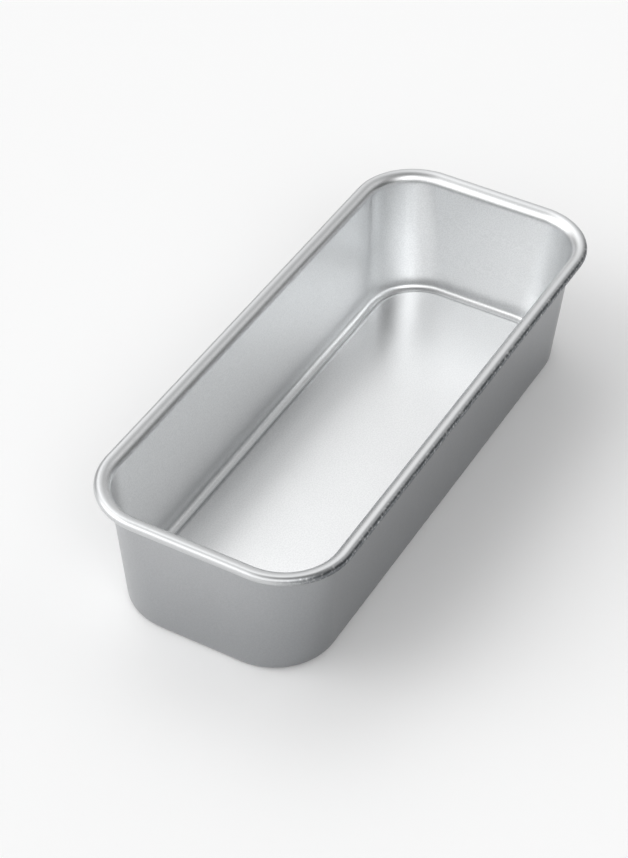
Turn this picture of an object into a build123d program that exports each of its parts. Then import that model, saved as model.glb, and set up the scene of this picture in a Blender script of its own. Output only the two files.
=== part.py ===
from build123d import *
import os
from math import cos, radians, sin, tan

# Loaf pan pressed from one sheet of aluminium, with a steel wire rolled into its rim.
# Long axis along X, width along Y, Z up. The origin is the middle of the table under the pan.

# Sizes at the rim, over the curl
rim_length = 250.0
rim_width = 103.0
pan_height = 57.0
rim_corner_radius = 27.5

# Sheet
sheet_thickness = 0.8

# Rim: the wall flares outwards, then the edge curls down round the wire
flare_radius = 4.2
flare_land = 0.3
flare_flat_count = 4
curl_radius = 2.0
curl_turn = 275.0
curl_flat_count = 9

# Wire inside the curl: it is round, and drawn with flats like the inside of the curl that hides it
wire_clearance = 0.08
wire_flat_count = 10
wire_end_gap = 1.0

# Walls: how far each leans from upright, in degrees, and how much the corner opens downwards
side_lean = 3.5
end_lean = 2.0
corner_opening = 3.8
heel_radius = 2.4
heel_flat_count = 4

# Raised panel of the floor, its riser leaning from upright at an angle in degrees
panel_margin = 3.3
panel_rise = 1.5
riser_lean = 45.0
shoulder_radius = 3.0
crease_radius = 0.8

# The wall's inner face, where the flare starts
flare_start_height = pan_height - flare_radius
neck_inset = curl_radius + flare_land + flare_radius
neck_length = rim_length - 2 * neck_inset
neck_width = rim_width - 2 * neck_inset
neck_corner_radius = rim_corner_radius - neck_inset

# How far the wall comes down to the top of the floor, where its heel starts, and its middle
wall_drop = flare_start_height - sheet_thickness
heel_height = sheet_thickness + heel_radius
middle_height = (heel_height + flare_start_height) / 2

# How far the sheet's underside lags behind its top at the riser
underside_lag = sheet_thickness * tan(radians(90 - riser_lean) / 2)

# Inner side of the curl, from the flange round to the edge of the sheet
curl_inner_radius = curl_radius - sheet_thickness
curl_turns = [radians(90 - curl_turn * flat / curl_flat_count) for flat in range(curl_flat_count + 1)]
curl_inner_points = [(curl_inner_radius * cos(turn), curl_inner_radius * sin(turn)) for turn in curl_turns]


def wall_outline(height, outset):
    """Outline of the wall's inner face at a height, drawn outwards by outset."""
    drop = flare_start_height - height
    length = neck_length - 2 * drop * tan(radians(end_lean))
    width = neck_width - 2 * drop * tan(radians(side_lean))
    radius = neck_corner_radius + corner_opening * drop / wall_drop
    RectangleRounded(length + 2 * outset, width + 2 * outset, radius + outset)


def rim_outline(inset):
    """Outline of the rim seen from above, drawn inwards by inset."""
    RectangleRounded(rim_length - 2 * inset, rim_width - 2 * inset, rim_corner_radius - inset)


def wall_sections(depth):
    """Outlines of the face at a depth below the sheet's inner face, from the floor up to the flange."""
    sections = []
    for step in range(heel_flat_count + 1):
        turn = radians(90 * step / heel_flat_count)
        with BuildSketch(Plane.XY.offset(heel_height - (heel_radius + depth) * cos(turn))) as heel:
            wall_outline(heel_height, (heel_radius + depth) * sin(turn) - heel_radius)
        sections.append(heel.sketch)
    with BuildSketch(Plane.XY.offset(middle_height)) as middle:
        wall_outline(middle_height, depth)
    sections.append(middle.sketch)
    for step in range(flare_flat_count + 1):
        turn = radians(90 * step / flare_flat_count)
        with BuildSketch(Plane.XY.offset(flare_start_height + (flare_radius - depth) * sin(turn))) as flare:
            rim_outline(neck_inset - flare_radius + (flare_radius - depth) * cos(turn))
        sections.append(flare.sketch)
    return sections


os.makedirs("parts", exist_ok=True)

# Path of the curl's middle, which the wire follows too
with BuildSketch(Plane.XY.offset(pan_height - curl_radius)) as rim_path_sketch:
    rim_outline(curl_radius)
rim_path = rim_path_sketch.sketch.face().outer_wire()
curl_centre = (0, curl_radius - rim_width / 2, pan_height - curl_radius)
curl_section = Plane(origin=curl_centre, x_dir=(0, -1, 0), z_dir=(-1, 0, 0))

with BuildPart() as pan_shell:
    # Outside of the sheet, up to the flange that the flare turns into
    loft(wall_sections(sheet_thickness), ruled=True)
    with BuildSketch(Plane.XY.offset(pan_height - sheet_thickness)):
        rim_outline(curl_radius)
    extrude(amount=sheet_thickness)

    # Inside of the sheet, its walls leaning inwards to the floor
    loft(wall_sections(0), ruled=True, mode=Mode.SUBTRACT)

    # Raised panel: the floor steps up over a sloping riser, and the underside follows
    with BuildSketch(Plane.XY.offset(sheet_thickness)):
        wall_outline(sheet_thickness, -panel_margin)
    extrude(amount=panel_rise, taper=riser_lean)
    with BuildSketch(Plane.XY):
        wall_outline(sheet_thickness, -panel_margin - underside_lag)
    extrude(amount=panel_rise, taper=riser_lean, mode=Mode.SUBTRACT)

    # Rounded bends at the top and the foot of the riser, on both sides of the sheet
    panel_top = pan_shell.faces().filter_by(Axis.Z).sort_by(Axis.Z)[3]
    fillet(panel_top.outer_wire().edges(), shoulder_radius)
    panel_under = pan_shell.faces().filter_by(Axis.Z).sort_by(Axis.Z)[2]
    fillet(panel_under.outer_wire().edges(), shoulder_radius - sheet_thickness)
    ring_top = pan_shell.faces().filter_by(Axis.Z).sort_by(Axis.Z)[1]
    fillet(ring_top.inner_wires()[0].edges(), crease_radius)
    ring_under = pan_shell.faces().filter_by(Axis.Z).sort_by(Axis.Z)[0]
    fillet(ring_under.inner_wires()[0].edges(), crease_radius + sheet_thickness)

    # Curl: the sheet's edge rolled outwards, down and back under the flare
    with BuildSketch(curl_section):
        with BuildLine():
            outer_roll = CenterArc((0, 0), curl_radius, 90, -curl_turn)
            inner_roll = Polyline(curl_inner_points)
            Line(outer_roll @ 0, inner_roll @ 0)
            Line(outer_roll @ 1, inner_roll @ 1)
        make_face()
    sweep(path=rim_path, transition=Transition.ROUND)

pan_shell.part.label = "pan_shell"
export_step(pan_shell.part, "parts/pan_shell.step")

with BuildPart() as rim_wire:
    # Wire bent into a ring, its two ends facing each other in the middle of a long side
    with BuildSketch(curl_section):
        RegularPolygon(curl_inner_radius - wire_clearance, wire_flat_count)
    sweep(path=rim_path, transition=Transition.ROUND)
    with Locations(curl_centre):
        Box(wire_end_gap, 2 * curl_radius, 2 * curl_radius, mode=Mode.SUBTRACT)

rim_wire.part.label = "rim_wire"
export_step(rim_wire.part, "parts/rim_wire.step")
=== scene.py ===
# %% [markdown]
# # A loaf pan of drawn aluminium
# The real pan is one sheet of aluminium, pressed down into a long tray with round corners.
# Its edge is flared out and rolled round a steel wire, which makes the rim stiff and smooth.
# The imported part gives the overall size, and every piece below is fitted into its box.

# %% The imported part
from math import cos, pi, radians, sin, tan

import bmesh
import bpy
from mathutils import Matrix, Vector


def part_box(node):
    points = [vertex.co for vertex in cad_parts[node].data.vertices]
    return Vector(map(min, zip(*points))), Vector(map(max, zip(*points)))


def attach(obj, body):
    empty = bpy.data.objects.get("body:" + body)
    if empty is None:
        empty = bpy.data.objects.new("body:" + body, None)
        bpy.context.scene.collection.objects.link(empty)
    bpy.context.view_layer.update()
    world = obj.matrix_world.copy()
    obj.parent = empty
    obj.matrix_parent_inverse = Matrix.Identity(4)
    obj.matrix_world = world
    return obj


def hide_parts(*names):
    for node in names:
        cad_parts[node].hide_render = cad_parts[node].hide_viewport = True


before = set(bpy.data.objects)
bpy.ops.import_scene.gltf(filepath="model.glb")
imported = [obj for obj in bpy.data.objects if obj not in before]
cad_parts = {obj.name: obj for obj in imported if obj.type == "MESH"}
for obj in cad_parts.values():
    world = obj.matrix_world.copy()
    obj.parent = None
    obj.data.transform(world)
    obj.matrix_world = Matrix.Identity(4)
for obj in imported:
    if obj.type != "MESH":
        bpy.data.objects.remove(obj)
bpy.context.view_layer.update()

# %% [markdown]
# ## Sizes
# A pan is described by a few sizes: how long, wide and high it is, how round its corners are,
# how much its walls lean, and how thick the sheet is. The first three are read from the part,
# so that the pan drawn here always fills the same box. Lengths are in metres.

# %% Sizes of the pan
shell_low, shell_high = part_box("pan_shell")
rim_length, rim_width, pan_height = shell_high - shell_low
mm = 0.001
sheet_thickness = 0.8 * mm
rim_corner_radius = 27.5 * mm
flare_radius = 4.2 * mm
flare_land = 0.3 * mm
curl_radius = 2.0 * mm
curl_turn = radians(275)
side_lean = radians(3.5)
end_lean = radians(2.0)
corner_opening = 3.8 * mm
heel_radius = 2.4 * mm
panel_margin = 3.3 * mm
panel_rise = 1.5 * mm
riser_turn = radians(45)
shoulder_radius = 3.0 * mm
crease_radius = 0.8 * mm

neck_inset = curl_radius + flare_land + flare_radius
neck_height = pan_height - flare_radius
heel_height = sheet_thickness + heel_radius
wall_drop = neck_height - sheet_thickness
print("rim in mm:", [round(size / mm, 1) for size in (rim_length, rim_width, pan_height)])

# %% [markdown]
# ## Outlines
# Seen from above, every level of the pan is a rectangle with round corners. Two small functions
# give that outline as half its length, half its width, its corner radius and its height.
# One follows the leaning wall, the other keeps an even distance from the rim.

# %% Outlines of the wall and of the rim
def wall_outline(height, outset, at=None):
    """Outline of the wall's inner face at a height, drawn outwards by outset, placed at another height."""
    drop = neck_height - height
    half_length = rim_length / 2 - neck_inset - drop * tan(end_lean) + outset
    half_width = rim_width / 2 - neck_inset - drop * tan(side_lean) + outset
    radius = rim_corner_radius - neck_inset + corner_opening * drop / wall_drop + outset
    return half_length, half_width, radius, height if at is None else at


def rim_outline(inset, height):
    """Outline of the rim, drawn inwards by inset, at a height."""
    return rim_length / 2 - inset, rim_width / 2 - inset, rim_corner_radius - inset, height


print("neck of the wall in mm:", [round(size / mm, 2) for size in rim_outline(neck_inset, neck_height)])

# %% [markdown]
# ## The section of the sheet
# Cut across, the sheet runs over the raised panel of the floor, down its riser, through the heel,
# up the wall, out through the flare and round the curl. Each bend is an arc, and the more steps
# an arc has, the smoother its highlight. Where the heel and the flare meet a flat part, the first
# few degrees of the arc are left out, so that the shading turns softly into the bend.
#
# The list holds one outline for each step, and two numbers that the finish needs later. The first
# is how far the rim has been formed: 0 on the wall, 0.5 where the flare ends and 1 at the edge
# inside the curl. The second is 1 at the sharp crease at the foot of the panel's riser, where the
# finish paints a line of shade, and 0 elsewhere.

# %% Stations along the section
shoulder_steps = 6
crease_steps = 4
heel_steps = 8
wall_steps = 10
flare_steps = 9
curl_steps = 30
bend_start = radians(4)
wall_start = heel_height + 2 * mm
wall_end = neck_height - 1 * mm


def steps(count, start, end):
    """Even values from start to end, both included."""
    return [start + (end - start) * step / count for step in range(count + 1)]


shoulder_inset = panel_margin + panel_rise / tan(riser_turn) + shoulder_radius * tan(riser_turn / 2)
panel_height = sheet_thickness + panel_rise
crease_inset = panel_margin - crease_radius * tan(riser_turn / 2)

stations = []
for turn in steps(shoulder_steps, 0, riser_turn):
    fall = shoulder_radius * (1 - cos(turn))
    inset = shoulder_inset - shoulder_radius * sin(turn)
    stations.append((wall_outline(sheet_thickness, -inset, panel_height - fall), 0, 0))
for turn in steps(crease_steps, riser_turn, 0):
    rise = crease_radius * (1 - cos(turn))
    inset = crease_inset + crease_radius * sin(turn)
    outline = wall_outline(sheet_thickness, -inset, sheet_thickness + rise)
    stations.append((outline, 0, 1 - turn / riser_turn))
for turn in steps(heel_steps, bend_start, pi / 2 - bend_start):
    rise = heel_radius * (1 - cos(turn))
    outset = heel_radius * (sin(turn) - 1)
    stations.append((wall_outline(heel_height, outset, sheet_thickness + rise), 0, 0))
for height in steps(wall_steps, wall_start, wall_end):
    stations.append((wall_outline(height, 0), 0, 0))
for turn in steps(flare_steps, bend_start, pi / 2):
    inset = neck_inset - flare_radius * (1 - cos(turn))
    stations.append((rim_outline(inset, neck_height + flare_radius * sin(turn)), turn / pi, 0))
for turn in steps(curl_steps, 0, curl_turn):
    inset = curl_radius * (1 - sin(turn))
    height = pan_height - curl_radius * (1 - cos(turn))
    stations.append((rim_outline(inset, height), 0.5 + 0.5 * turn / curl_turn, 0))
print("stations:", len(stations))

# %% [markdown]
# ## The first loop
# A round corner is made by spinning one vertex through a quarter turn. Three mirrored copies
# give the other corners, and an edge across each gap closes the loop. Starting from a spin
# keeps the vertices of every corner evenly spaced, whatever its radius becomes later.

# %% Corner arcs joined into a loop
corner_steps = 28
same_place = 0.001 * mm


def first_loop(mesh, outline):
    """A closed loop of edges along an outline."""
    half_length, half_width, radius, height = outline
    centre = Vector((half_length - radius, half_width - radius, height))
    start = bmesh.ops.create_vert(mesh, co=centre + Vector((radius, 0, 0)))["vert"]
    bmesh.ops.spin(mesh, geom=start, cent=centre, axis=(0, 0, 1), angle=pi / 2, steps=corner_steps)
    for axis in ("X", "Y"):
        bmesh.ops.mirror(mesh, geom=mesh.verts[:] + mesh.edges[:], axis=axis, merge_dist=0)
    for axis, reach in ((0, half_length), (1, half_width)):
        for side in (-reach, reach):
            ends = [vertex for vertex in mesh.verts if abs(vertex.co[axis] - side) < same_place]
            bmesh.ops.contextual_create(mesh, geom=ends)
    return mesh.edges[:]


# %% [markdown]
# ## Walls grown ring by ring
# Extruding the loop's edges and moving the new loop to the next station grows the sheet the way
# a potter raises a wall. Each quarter of the loop is scaled about its own corner centre and then
# moved, so the straight sides stay straight and the corners stay round.

# %% Extruding to the next station
def only(kinds, geometry):
    """The items of some kinds among what an operator made."""
    return [item for item in geometry if isinstance(item, kinds)]


def quarter_move(here, there, side_x, side_y):
    """Matrix that takes one corner of an outline to the same corner of another."""
    half_length, half_width, radius, height = here
    new_length, new_width, new_radius, new_height = there
    centre = Vector((side_x * (half_length - radius), side_y * (half_width - radius), height))
    new_centre = Vector((side_x * (new_length - new_radius), side_y * (new_width - new_radius), new_height))
    scale = Matrix.Diagonal((new_radius / radius, new_radius / radius, 1, 1))
    return Matrix.Translation(new_centre) @ scale @ Matrix.Translation(-centre)


def next_ring(mesh, loop, here, there):
    """Extrudes a loop of edges and moves the new one to another outline."""
    ring = only(bmesh.types.BMVert, bmesh.ops.extrude_edge_only(mesh, edges=loop)["geom"])
    for side_x in (-1, 1):
        for side_y in (-1, 1):
            quarter = [vertex for vertex in ring if vertex.co.x * side_x > 0 and vertex.co.y * side_y > 0]
            bmesh.ops.transform(mesh, matrix=quarter_move(here, there, side_x, side_y), verts=quarter)
    members = set(ring)
    return ring, [edge for edge in mesh.edges if edge.verts[0] in members and edge.verts[1] in members]


# %% [markdown]
# ## From mesh to piece
# A bmesh is a workbench: its shape shows only once it is written to a mesh and an object. Each
# piece of the pan keeps its place in its mesh, so its object stays at the origin, unturned.

# %% Making a piece of a finished mesh
def place_piece(mesh, name, mesh_name):
    """Turns a finished bmesh into an object of the scene."""
    data = bpy.data.meshes.new(mesh_name)
    mesh.to_mesh(data)
    mesh.free()
    piece = bpy.data.objects.new(name, data)
    bpy.context.collection.objects.link(piece)
    return piece


# %% [markdown]
# ## The sheet
# The first loop is filled for the floor, and the rings follow from the panel's shoulder to the
# edge inside the curl. Each vertex keeps the two numbers of its station, as attributes that the
# finish reads. A box with rounded edges would be quicker, but its rim couldn't roll back under
# itself, and its corners couldn't open towards the floor. Cutting the long sides into shorter
# faces keeps them even in shape, and a Solidify modifier then gives the sheet its thickness, on
# the side that the loaf doesn't touch.

# %% Building the sheet
longest_face = 8 * mm


def grow_sheet(mesh):
    """Grows the sheet from the floor to the edge inside the curl, one station after another."""
    roll = mesh.verts.layers.float.new("roll")
    crease = mesh.verts.layers.float.new("crease")
    here = stations[0][0]
    loop = first_loop(mesh, here)
    bmesh.ops.contextual_create(mesh, geom=loop)
    for there, formed, pressed in stations[1:]:
        ring, loop = next_ring(mesh, loop, here, there)
        for vertex in ring:
            vertex[roll], vertex[crease] = formed, pressed
        here = there


def even_cuts(mesh, across, straight):
    """Cuts a mesh across a direction at even distances, along its straight part."""
    count = int(straight // longest_face)
    for number in range(-count, count + 1):
        everything = mesh.verts[:] + mesh.edges[:] + mesh.faces[:]
        place = across * number * longest_face
        bmesh.ops.bisect_plane(mesh, geom=everything, plane_co=place, plane_no=across)


def face_the_loaf(mesh):
    """Turns the sheet's faces to the side that the loaf touches."""
    bmesh.ops.recalc_face_normals(mesh, faces=mesh.faces)
    middle = min(mesh.faces, key=lambda face: face.calc_center_median().xy.length)
    if middle.normal.z < 0:
        bmesh.ops.reverse_faces(mesh, faces=mesh.faces)


def build_sheet():
    """The pan's sheet, as an object with its thickness."""
    mesh = bmesh.new()
    grow_sheet(mesh)
    half_length, half_width, radius, _ = stations[0][0]
    even_cuts(mesh, Vector((1, 0, 0)), half_length - radius)
    even_cuts(mesh, Vector((0, 1, 0)), half_width - radius)
    bmesh.ops.remove_doubles(mesh, verts=mesh.verts, dist=same_place)
    face_the_loaf(mesh)
    for face in mesh.faces:
        face.smooth = True
    sheet = place_piece(mesh, "pan_sheet_dressed", "pan_sheet_mesh")
    thickness = sheet.modifiers.new("sheet thickness", "SOLIDIFY")
    thickness.thickness = sheet_thickness
    thickness.offset = -1
    thickness.use_even_offset = True
    return sheet


pan = build_sheet()
print("sheet:", len(pan.data.vertices), "vertices,", len(pan.data.polygons), "faces")

# %% [markdown]
# ## The wire
# The wire is bent from one length of round steel rod, and its two ends meet in the middle of a
# long side. A circle is extruded along the straights and spun round the corners, which is just
# how a rod is bent over a former. The disc at the tip goes before each bend, and a new one closes
# the bend, so that no disc is left inside the wire.

# %% Straights and bends
wire_corner_steps = 20


def draw_straight(mesh, tip, reach):
    """Extrudes the disc at the tip along a straight, and returns the new disc."""
    grown = bmesh.ops.extrude_face_region(mesh, geom=tip)["geom"]
    bmesh.ops.translate(mesh, vec=reach, verts=only(bmesh.types.BMVert, grown))
    return only(bmesh.types.BMFace, grown)


def draw_on(mesh, disc, reach):
    """Draws a straight out of a bend, and takes away the disc between them."""
    tip = draw_straight(mesh, disc, reach)
    bmesh.ops.delete(mesh, geom=disc, context="FACES_ONLY")
    return tip


def bend_corner(mesh, tip, centre):
    """Spins the rim of the disc at the tip round a corner, and closes it with a new disc."""
    rim = [edge for face in tip for edge in face.edges]
    bmesh.ops.delete(mesh, geom=tip, context="FACES_ONLY")
    spun = bmesh.ops.spin(mesh, geom=rim, cent=centre, axis=(0, 0, 1), angle=pi / 2, steps=wire_corner_steps)
    last = only((bmesh.types.BMEdge, bmesh.types.BMFace), spun["geom_last"])
    return bmesh.ops.contextual_create(mesh, geom=last)["faces"]


# %% [markdown]
# ### Once round the rim
# The wire starts on one side of its gap, runs round the four corners and comes back on the other
# side. It lies in the middle of the curl, a little thinner than the hollow that holds it. Its two
# end discs stay flat, and its sides are shaded smooth.

# %% Bending the wire
wire_clearance = 0.08 * mm
wire_radius = curl_radius - sheet_thickness - wire_clearance
wire_gap = 1.0 * mm
wire_sides = 20


def bend_wire():
    """The wire, as a closed tube with flat ends."""
    half_length, half_width, radius, height = rim_outline(curl_radius, pan_height - curl_radius)
    straight_x, straight_y = half_length - radius, half_width - radius
    mesh = bmesh.new()
    face_along_x = Matrix.Rotation(pi / 2, 4, "Y")
    start = Matrix.Translation((wire_gap / 2, -half_width, height)) @ face_along_x
    bmesh.ops.create_circle(mesh, segments=wire_sides, radius=wire_radius, cap_ends=True, matrix=start)
    tip = draw_straight(mesh, mesh.faces[:], Vector((straight_x - wire_gap / 2, 0, 0)))
    tip = bend_corner(mesh, tip, Vector((straight_x, -straight_y, height)))
    for centre_x, centre_y, reach in (
        (straight_x, straight_y, Vector((0, 2 * straight_y, 0))),
        (-straight_x, straight_y, Vector((-2 * straight_x, 0, 0))),
        (-straight_x, -straight_y, Vector((0, -2 * straight_y, 0))),
    ):
        tip = draw_on(mesh, tip, reach)
        tip = bend_corner(mesh, tip, Vector((centre_x, centre_y, height)))
    draw_on(mesh, tip, Vector((straight_x - wire_gap / 2, 0, 0)))
    bmesh.ops.remove_doubles(mesh, verts=mesh.verts, dist=same_place)
    bmesh.ops.recalc_face_normals(mesh, faces=mesh.faces)
    for face in mesh.faces:
        face.smooth = len(face.verts) == 4
    return place_piece(mesh, "rim_wire_dressed", "rim_wire_mesh")


wire = bend_wire()
print("wire:", len(wire.data.vertices), "vertices,", len(wire.data.polygons), "faces")

# %% [markdown]
# ## Finishes in shared groups
# Drawn aluminium is never quite even. The punch leaves fine marks that run up the walls, the
# sheet waves very slightly, and the rim is rubbed where it was rolled. Shade is also painted into
# the colour: at the foot, on the right of the outside, in the crease and along the left fold. Each
# effect is a node group, built once, that puts out a height or a mask, and leaves the shader to the
# material.

# %% Helpers for node groups
def new_group(name, inputs, outputs):
    """An empty shader group with float or vector sockets, its nodes and its two end nodes."""
    group = bpy.data.node_groups.new(name, "ShaderNodeTree")
    for socket, value in inputs.items():
        kind = "NodeSocketVector" if value is None else "NodeSocketFloat"
        made = group.interface.new_socket(name=socket, in_out="INPUT", socket_type=kind)
        if value is not None:
            made.default_value = value
    for socket in outputs:
        group.interface.new_socket(name=socket, in_out="OUTPUT", socket_type="NodeSocketFloat")
    return group, group.nodes.new("NodeGroupInput"), group.nodes.new("NodeGroupOutput")


def math_node(tree, operation, first, second=None, third=None):
    """A Math node whose inputs are sockets or numbers; returns its output."""
    node = tree.nodes.new("ShaderNodeMath")
    node.operation = operation
    for socket, value in zip(node.inputs, (first, second, third)):
        if isinstance(value, bpy.types.NodeSocket):
            tree.links.new(value, socket)
        elif value is not None:
            socket.default_value = value
    return node.outputs[0]


def stretched_noise(tree, vector, scale, detail=3.0, roughness=0.55):
    """Noise on coordinates scaled by three numbers per metre; returns its value."""
    mapping = tree.nodes.new("ShaderNodeMapping")
    mapping.inputs["Scale"].default_value = scale
    noise = tree.nodes.new("ShaderNodeTexNoise")
    noise.inputs["Scale"].default_value = 1.0
    noise.inputs["Detail"].default_value = detail
    noise.inputs["Roughness"].default_value = roughness
    tree.links.new(vector, mapping.inputs["Vector"])
    tree.links.new(mapping.outputs["Vector"], noise.inputs["Vector"])
    return noise.outputs[0]


def ramp(tree, value, low, high):
    """A value that goes smoothly from 0 at the first level to 1 at the second, up or down."""
    node = tree.nodes.new("ShaderNodeMapRange")
    node.interpolation_type = "SMOOTHSTEP"
    node.inputs["From Min"].default_value = low
    node.inputs["From Max"].default_value = high
    tree.links.new(value, node.inputs["Value"])
    return node.outputs["Result"]


def along_axes(tree, vector):
    """The three parts of a place, along X, Y and Z."""
    split = tree.nodes.new("ShaderNodeSeparateXYZ")
    tree.links.new(vector, split.inputs["Vector"])
    return split.outputs[:]


# %% [markdown]
# ### Draw marks, grain and waves
# Noise that is squeezed along two axes and stretched along the third gives lines. Squeezed evenly
# it gives a fine grain, and left broad it gives the slow waves that make a reflection wander, or
# the clouds of slightly lighter and darker metal that every sheet has.

# %% Groups for what the whole sheet has
fine_mark_scale = (2600, 2600, 45)
broad_mark_scale = (420, 420, 9)
broad_mark_share = 0.8
grain_scale = (1700, 1700, 1700)
speck_levels = (0.35, 0.65)
speck_depth = 0.11


def draw_marks_group():
    """Fine lines that run up the walls."""
    group, start, end = new_group("draw marks", {"Vector": None}, ["Height"])
    fine = stretched_noise(group, start.outputs["Vector"], fine_mark_scale)
    broad = stretched_noise(group, start.outputs["Vector"], broad_mark_scale)
    group.links.new(math_node(group, "MULTIPLY_ADD", broad, broad_mark_share, fine), end.inputs["Height"])
    return group


def satin_grain_group():
    """Fine grain, and a mask of the specks that it darkens."""
    group, start, end = new_group("satin grain", {"Vector": None}, ["Grain", "Specks"])
    grain = stretched_noise(group, start.outputs["Vector"], grain_scale, 2.0)
    specks = math_node(group, "MULTIPLY", ramp(group, grain, *speck_levels), speck_depth)
    group.links.new(grain, end.inputs["Grain"])
    group.links.new(specks, end.inputs["Specks"])
    return group


def noise_group(name, output, scale, detail):
    """One noise with a name of its own."""
    group, start, end = new_group(name, {"Vector": None}, [output])
    group.links.new(stretched_noise(group, start.outputs["Vector"], scale, detail), end.inputs[output])
    return group


draw_marks = draw_marks_group()
satin_grain = satin_grain_group()
sheet_waves = noise_group("sheet waves", "Height", scale=(38, 38, 30), detail=1.5)
metal_clouds = noise_group("metal clouds", "Cloud", scale=(60, 60, 25), detail=3.0)

# %% [markdown]
# ### Where on the pan
# The metal is painted darker at the foot of the pan than at its neck, and the outside is painted
# darker towards the right. Both are painted shade. The crease at the foot of the panel's riser is
# painted dark too, as painted shade in the sharp fold. One group gives the three as masks, from the
# place on the pan and the sheet's attribute.

# %% Group for places on the pan
# Where the painted shade on the right of the outside starts and is full, and how dark the painted shade in
# the crease is.
right_shade_starts = -10 * mm
right_shade_full = -50 * mm
crease_shade_levels = (0.45, 1.0)
crease_shade_depth = 0.35


def pan_places_group():
    """Masks for painted shade: the height over the table, the right side and the crease."""
    masks = ["Height", "Right", "Line"]
    group, start, end = new_group("places on the pan", {"Vector": None, "Pressed": 0.0}, masks)
    _, across, up = along_axes(group, start.outputs["Vector"])
    line = math_node(group, "MULTIPLY", ramp(group, start.outputs["Pressed"], *crease_shade_levels), crease_shade_depth)
    group.links.new(ramp(group, up, 0, neck_height), end.inputs["Height"])
    group.links.new(ramp(group, across, right_shade_starts, right_shade_full), end.inputs["Right"])
    group.links.new(line, end.inputs["Line"])
    return group


pan_places = pan_places_group()

# %% [markdown]
# ### The rubbed rim
# The rollers that form the rim rub the metal dull and leave it mottled round the curl. On the right
# side, dark specks are mixed into the curl's outer side. The specks are the metal's own, and keeping
# them dark on that side only is painted shade. The group reads how far the rim has been formed from
# the sheet's attribute, so each mask follows the bend wherever it runs. Each stretch below says where
# a mask starts and where it is full, by how far the rim has been formed.

# %% Group for the rim
spot_scale = (700, 700, 700)
# Where the painted shade on the rim's right side starts and is full, and the levels of its specks.
rim_shade_starts = -30 * mm
rim_shade_full = -50 * mm
rim_speck_levels = (0.20, 0.55)
dull_stretch = (0.02, 0.30)
rolled_stretch = (0.20, 0.50)
rim_shade_stretch = (0.50, 0.60)
mottled_stretch = (0.55, 0.70)


def rim_rub_group():
    """What rolling does to the rim, and painted shade on its right, as masks that follow how far it has been
    formed.
    """
    masks = ["Dull", "Rolled", "Mottle", "Specks and shade"]
    group, start, end = new_group("rim rub", {"Vector": None, "Formed": 0.0}, masks)
    place, formed = start.outputs["Vector"], start.outputs["Formed"]
    spots = stretched_noise(group, place, spot_scale, 3.0, 0.6)
    on_right = ramp(group, along_axes(group, place)[1], rim_shade_starts, rim_shade_full)
    shaded_part = math_node(group, "MULTIPLY", on_right, ramp(group, formed, *rim_shade_stretch))
    specks_and_shade = math_node(group, "MULTIPLY", ramp(group, spots, *rim_speck_levels), shaded_part)
    mottle = math_node(group, "MULTIPLY", spots, ramp(group, formed, *mottled_stretch))
    group.links.new(ramp(group, formed, *dull_stretch), end.inputs["Dull"])
    group.links.new(ramp(group, formed, *rolled_stretch), end.inputs["Rolled"])
    group.links.new(mottle, end.inputs["Mottle"])
    group.links.new(specks_and_shade, end.inputs["Specks and shade"])
    return group


rim_rub = rim_rub_group()

# %% [markdown]
# ### Painted shade in the fold
# Shade is painted along the left fold round the floor's panel, on the panel and up the wall, and
# fades out towards both ends. The flat ring between the panel and the wall is left out of it, as the
# photograph shows it. Each limit of the painted shade is a ramp on one axis, and the product of all
# of them is its mask.

# %% Group for the painted shade in the fold
# Limits of the painted shade along the left fold, and of the ring that is left out of it.
left_fold = wall_outline(sheet_thickness, -panel_margin)[1]
left_wall = wall_outline(sheet_thickness, 0)[1]
ring_starts = left_fold - 0.52 * mm
ring_ends = left_wall - 0.62 * mm
ring_softness = 1.2 * mm
fold_shade_starts = left_fold - 12.02 * mm
fold_shade_full = left_fold - 1.52 * mm
fold_shade_top = 7 * mm
fold_shade_full_below = 1 * mm
fold_shade_far_fade = (65 * mm, 10 * mm)
fold_shade_near_fade = (-115 * mm, -40 * mm)
fold_shade_scale = (500, 500, 500)
fold_shade_patchiness = 0.6
fold_shade_least = 0.7
fold_shade_depth = 0.36


def painted_fold_shade_group():
    """Painted shade on both sides of the floor's left fold."""
    group, start, end = new_group("painted fold shade", {"Vector": None}, ["Film"])
    along, across, up = along_axes(group, start.outputs["Vector"])
    past_fold = ramp(group, across, ring_starts, ring_starts + ring_softness)
    before_wall = ramp(group, across, ring_ends, ring_ends - ring_softness)
    on_ring = math_node(group, "MULTIPLY", past_fold, before_wall)
    limits = (
        ramp(group, across, fold_shade_starts, fold_shade_full),
        ramp(group, up, fold_shade_top, fold_shade_full_below),
        ramp(group, along, *fold_shade_far_fade),
        ramp(group, along, *fold_shade_near_fade),
        math_node(group, "SUBTRACT", 1.0, on_ring),
    )
    patchy = stretched_noise(group, start.outputs["Vector"], fold_shade_scale, 4.0, 0.65)
    fold_shade_mask = math_node(group, "MULTIPLY_ADD", patchy, fold_shade_patchiness, fold_shade_least)
    for limit in limits:
        fold_shade_mask = math_node(group, "MULTIPLY", fold_shade_mask, limit)
    group.links.new(math_node(group, "MULTIPLY", fold_shade_mask, fold_shade_depth), end.inputs["Film"])
    return group


painted_fold_shade = painted_fold_shade_group()
print("groups:", [group.name for group in bpy.data.node_groups])

# %% [markdown]
# ## Satin aluminium
# Aluminium is a metal, so its colour is in its reflections and Metallic is 1. The colour starts
# from two tones that drift into each other, is painted darker at the foot of the pan as shade, and
# is then mixed with dark tones through one mask after another: the grain's specks, painted shade
# on the right side, painted shade along the left fold, the rim's specks with painted shade on its
# right, and painted shade in the sharp crease round the panel. Painting a mask instead would need
# an image, and would blur when seen close.

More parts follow.
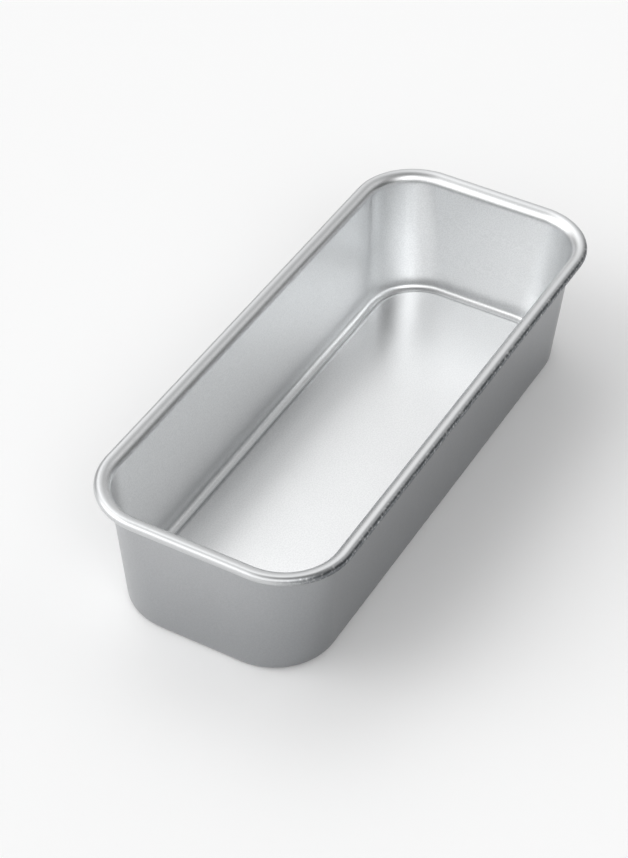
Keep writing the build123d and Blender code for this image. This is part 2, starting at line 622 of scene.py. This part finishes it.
# %% Colour of the sheet
# The first tone darkens the grain's specks and carries the painted shade; the second darkens the rim's
# specks and their painted shade on the right.
speck_and_shade_tone = (0.16, 0.17, 0.18)
rim_speck_and_shade_tone = (0.15, 0.16, 0.17)
rim_tone = (0.640, 0.649, 0.655)


def group_node(tree, group, vector):
    """A group placed in a material, fed with coordinates."""
    node = tree.nodes.new("ShaderNodeGroup")
    node.node_tree = group
    tree.links.new(vector, node.inputs["Vector"])
    return node


def attribute(tree, name):
    """A number kept on the sheet's vertices."""
    node = tree.nodes.new("ShaderNodeAttribute")
    node.attribute_name = name
    return node.outputs["Fac"]


def blend(tree, factor, first, second):
    """A Mix node between two colours, each a socket or numbers; returns its output."""
    node = tree.nodes.new("ShaderNodeMix")
    node.data_type = "RGBA"
    for socket, colour in ((node.inputs["A"], first), (node.inputs["B"], second)):
        if isinstance(colour, bpy.types.NodeSocket):
            tree.links.new(colour, socket)
        else:
            socket.default_value = (*colour, 1)
    tree.links.new(factor, node.inputs["Factor"])
    return node.outputs["Result"]


def satin_colour(tree, place, specks, rim, tones, right_shade):
    """Colour of one side of the sheet, from its tones, its specks and its painted shade."""
    tone_low, tone_high, foot_tone = tones
    clouds = group_node(tree, metal_clouds, place).outputs["Cloud"]
    fold_shade_mask = group_node(tree, painted_fold_shade, place).outputs["Film"]
    places = group_node(tree, pan_places, place)
    tree.links.new(attribute(tree, "crease"), places.inputs["Pressed"])
    shade = math_node(tree, "MULTIPLY", places.outputs["Right"], right_shade)
    colour = blend(tree, clouds, tone_low, tone_high)
    # Painted shade at the foot of the pan.
    colour = blend(tree, places.outputs["Height"], foot_tone, colour)
    # The grain's specks, then painted shade on the right and along the left fold.
    for mask in (specks, shade, fold_shade_mask):
        colour = blend(tree, mask, colour, speck_and_shade_tone)
    colour = blend(tree, rim.outputs["Rolled"], colour, rim_tone)
    # The rim's specks, with painted shade on its right side.
    colour = blend(tree, rim.outputs["Specks and shade"], colour, rim_speck_and_shade_tone)
    # Painted shade in the crease round the panel.
    return blend(tree, places.outputs["Line"], colour, speck_and_shade_tone)


# %% [markdown]
# ### Roughness and relief
# The satin look comes from Roughness, which wanders a little with the marks and the grain, and
# rises on the rubbed rim. The heights of the same effects go to Bump nodes, one after another,
# and the distance of each is its real height in metres. Real dents of this depth would need
# millions of faces.

# %% Roughness and relief of the sheet
least_roughness = 0.25
mark_roughness = 0.05
grain_roughness = 0.06
dull_roughness = 0.04
mottle_roughness = 0.12
wave_height = 0.12 * mm
mark_height = 0.002 * mm
grain_height = 0.010 * mm
mottle_height = 0.03 * mm


def bump_node(tree, height, distance, normal=None):
    """A Bump node of a real height; returns its normal."""
    node = tree.nodes.new("ShaderNodeBump")
    node.inputs["Strength"].default_value = 1.0
    node.inputs["Distance"].default_value = distance
    tree.links.new(height, node.inputs["Height"])
    if normal is not None:
        tree.links.new(normal, node.inputs["Normal"])
    return node.outputs["Normal"]


def satin_roughness(tree, marks, grain, rim):
    """Roughness of the sheet, from its least value up."""
    rough = math_node(tree, "MULTIPLY_ADD", marks, mark_roughness, least_roughness)
    rough = math_node(tree, "MULTIPLY_ADD", grain, grain_roughness, rough)
    rough = math_node(tree, "MULTIPLY_ADD", rim.outputs["Dull"], dull_roughness, rough)
    return math_node(tree, "MULTIPLY_ADD", rim.outputs["Mottle"], mottle_roughness, rough)


def satin_relief(tree, waves, marks, grain, rim):
    """Relief of the sheet, as a normal."""
    normal = bump_node(tree, waves, wave_height)
    normal = bump_node(tree, marks, mark_height, normal)
    normal = bump_node(tree, grain, grain_height, normal)
    return bump_node(tree, rim.outputs["Mottle"], mottle_height, normal)


# %% [markdown]
# ### The two sides of the sheet
# The inside of the pan is bright, and it is also the side of the sheet that shows round the bead.
# The outside is darker all over. Both sides carry painted shade at the foot, and the outside also
# on the right. Both sides have one finish, with values of their own: two tones, the painted tone at
# the foot, and how much painted shade the right gets.
# The Solidify modifier gives the outside the second material.

# %% Materials of the sheet
# The third tone of each side is the painted shade at the foot; the right shade is painted shade too.
inside_tones = (0.852, 0.861, 0.866), (0.886, 0.895, 0.900), (0.797, 0.805, 0.810)
outside_tones = (0.465, 0.473, 0.483), (0.495, 0.504, 0.515), (0.395, 0.403, 0.413)
inside_right_shade = 0.0
outside_right_shade = 0.30


def bare_metal(name):
    """A new metal, with its node tree, its shader and the coordinates of the piece."""
    material = bpy.data.materials.new(name)
    material.use_nodes = True
    tree = material.node_tree
    shader = tree.nodes["Principled BSDF"]
    shader.inputs["Metallic"].default_value = 1.0
    return material, tree, shader, tree.nodes.new("ShaderNodeTexCoord").outputs["Object"]


def satin_aluminium(name, tones, right_shade):
    """Finish of one side of the sheet."""
    material, tree, shader, place = bare_metal(name)
    marks = group_node(tree, draw_marks, place).outputs["Height"]
    waves = group_node(tree, sheet_waves, place).outputs["Height"]
    satin = group_node(tree, satin_grain, place)
    grain, specks = satin.outputs["Grain"], satin.outputs["Specks"]
    rim = group_node(tree, rim_rub, place)
    tree.links.new(attribute(tree, "roll"), rim.inputs["Formed"])
    colour = satin_colour(tree, place, specks, rim, tones, right_shade)
    tree.links.new(colour, shader.inputs["Base Color"])
    tree.links.new(satin_roughness(tree, marks, grain, rim), shader.inputs["Roughness"])
    tree.links.new(satin_relief(tree, waves, marks, grain, rim), shader.inputs["Normal"])
    return material


pan.data.materials.append(satin_aluminium("satin inside", inside_tones, inside_right_shade))
pan.data.materials.append(satin_aluminium("darker outside", outside_tones, outside_right_shade))
pan.modifiers["sheet thickness"].material_offset = 1
print("finishes of the sheet:", [material.name for material in pan.data.materials])

# %% [markdown]
# ### The steel of the wire
# The wire is cold-drawn steel, which isn't as bright as the inside of the pan. One even noise
# gives it its two tones, its roughness and a very shallow relief. Nothing but a gap in the curl
# would ever show it, so it needs no more.

# %% Material of the wire
steel_low = (0.46, 0.47, 0.49)
steel_high = (0.56, 0.57, 0.58)
steel_scale = (700, 700, 700)
steel_least_roughness = 0.28
steel_grain_roughness = 0.15
steel_grain_height = 0.004 * mm


def drawn_steel():
    """Finish of the wire: cold-drawn steel."""
    material, tree, shader, place = bare_metal("cold drawn steel")
    grain = stretched_noise(tree, place, steel_scale)
    rough = math_node(tree, "MULTIPLY_ADD", grain, steel_grain_roughness, steel_least_roughness)
    tree.links.new(blend(tree, grain, steel_low, steel_high), shader.inputs["Base Color"])
    tree.links.new(rough, shader.inputs["Roughness"])
    tree.links.new(bump_node(tree, grain, steel_grain_height), shader.inputs["Normal"])
    return material


wire.data.materials.append(drawn_steel())
print("finish of the wire:", wire.data.materials[0].name)

# %% [markdown]
# ## Putting the pieces on the part
# Each piece rides on the part's body, and the solid that it dresses is hidden.

# %% Riding on the part
for piece, node, slot in ((pan, "pan_shell", "pan_sheet"), (wire, "rim_wire", "wire_steel")):
    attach(piece, "root")
    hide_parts(node)
print("pieces:", pan.name, wire.name)

# %% [markdown]
# ## The floor
# Metal looks like what surrounds it, so the room matters more than the finish. The pan stands on
# a wide pale floor. It is dull, so that it holds the pan's shadow and shines back softly into the
# outer walls.

# %% A wide pale floor
floor_reach = 4.0
floor_colour = (0.95, 0.95, 0.95, 1)
floor_roughness = 0.9


def pale_floor():
    """A wide plain floor."""
    mesh = bmesh.new()
    bmesh.ops.create_grid(mesh, x_segments=1, y_segments=1, size=floor_reach)
    floor = place_piece(mesh, "floor", "floor_mesh")
    material = bpy.data.materials.new("pale floor")
    material.use_nodes = True
    shader = material.node_tree.nodes["Principled BSDF"]
    shader.inputs["Base Color"].default_value = floor_colour
    shader.inputs["Roughness"].default_value = floor_roughness
    shader.inputs["Specular IOR Level"].default_value = 0.0
    floor.data.materials.append(material)
    return floor


floor = pale_floor()
print("floor:", [round(size, 1) for size in floor.dimensions])

# %% [markdown]
# ## Soft lights
# Satin metal shows every lamp as a soft patch, so the lights are drawn into a dark room as patches
# that fade out evenly, as a large diffuser does. A patch is brightest where the view into the room
# points straight at it, which a dot product measures, and an exponential makes it fall off: the
# greater its sharpness, the smaller the patch. Adding the patches gives the whole room. Area lamps
# would do as well, but a curved rim shows their edges.

# %% Helpers for patches of light
def direction(heading, height):
    """Unit vector at a heading from +X and a height, both in degrees."""
    level = cos(radians(height))
    return level * cos(radians(heading)), level * sin(radians(heading)), sin(radians(height))


def soft_patch(tree, view, room_light, heading, height, sharpness, strength):
    """Adds a round patch of light to the room's light, and returns the sum."""
    facing = tree.nodes.new("ShaderNodeVectorMath")
    facing.operation = "DOT_PRODUCT"
    facing.inputs[1].default_value = direction(heading, height)
    tree.links.new(view, facing.inputs[0])
    away = math_node(tree, "SUBTRACT", facing.outputs["Value"], 1.0)
    glow = math_node(tree, "EXPONENT", math_node(tree, "MULTIPLY", away, sharpness))
    return math_node(tree, "MULTIPLY_ADD", glow, strength, room_light)


# %% [markdown]
# ### The patches
# Each patch has a heading from +X and a height, both in degrees, then its sharpness and its
# strength. The high ones light the floor of the pan and its walls. The two low ones, left and
# behind, are there for the flare of the rim and for the heel, which mirror the horizon.

# %% Lighting the room
left_patch = (121.6, 31.8, 10.8, 3.46)
low_left_patch = (155.0, 5.0, 8.0, 0.50)
back_left_patch = (52.5, 51.3, 13.6, 2.13)
low_back_patch = (15.0, 8.0, 6.0, 0.80)
front_patch = (179.8, 28.4, 14.4, 1.45)
near_right_patch = (226.0, 39.8, 16.8, 2.95)
right_patch = (319.9, 43.4, 16.7, 1.03)
light_everywhere = 0.005


def light_room(patches):
    """Lights the room with soft patches over a faint even light."""
    world = bpy.data.worlds.new("studio")
    bpy.context.scene.world = world
    world.use_nodes = True
    tree = world.node_tree
    room = tree.nodes["Background"]
    room.inputs["Color"].default_value = (1, 1, 1, 1)
    view = tree.nodes.new("ShaderNodeTexCoord").outputs["Generated"]
    light = light_everywhere
    for patch in patches:
        light = soft_patch(tree, view, light, *patch)
    tree.links.new(light, room.inputs["Strength"])
    return len(patches)


patch_count = light_room((left_patch, low_left_patch, back_left_patch, low_back_patch, front_patch,
                          near_right_patch, right_patch))
print("patches of light:", patch_count)

# %% [markdown]
# ## The camera
# The photograph looks down at the near end of the pan from its left. The camera stands where the
# rim, the crease and the foot of the pan fall on the same pixels as in the photograph, which
# fixes its heading, height, small roll, distance and lens together.

# %% The camera
camera_heading = radians(-61.835)
camera_height = radians(41.442)
camera_roll = radians(1.466)
camera_distance = 939.111 * mm
camera_right_shift = -15.416 * mm
camera_up_shift = -8.069 * mm
picture_height = 858
focal_pixels = 2386.58
sensor_size = 36


def photo_camera():
    """A camera that stands and looks as the photograph's did."""
    level = cos(camera_height)
    back = Vector((sin(camera_heading) * level, -cos(camera_heading) * level, sin(camera_height)))
    level_right = Vector((cos(camera_heading), sin(camera_heading), 0))
    roll = Matrix.Rotation(camera_roll, 3, back)
    right = roll @ level_right
    up = roll @ back.cross(level_right)
    middle = Vector((0, 0, pan_height / 2))
    place = middle + right * camera_right_shift + up * camera_up_shift + back * camera_distance
    lens = bpy.data.cameras.new("photo camera")
    lens.sensor_width = sensor_size
    lens.lens = focal_pixels * sensor_size / picture_height
    camera = bpy.data.objects.new("photo camera", lens)
    bpy.context.collection.objects.link(camera)
    camera.matrix_world = Matrix.Translation(place) @ Matrix((right, up, back)).transposed().to_4x4()
    return camera


camera = photo_camera()
bpy.context.scene.camera = camera
bpy.context.scene.view_settings.view_transform = "Standard"
print("lens in mm:", round(camera.data.lens, 2))
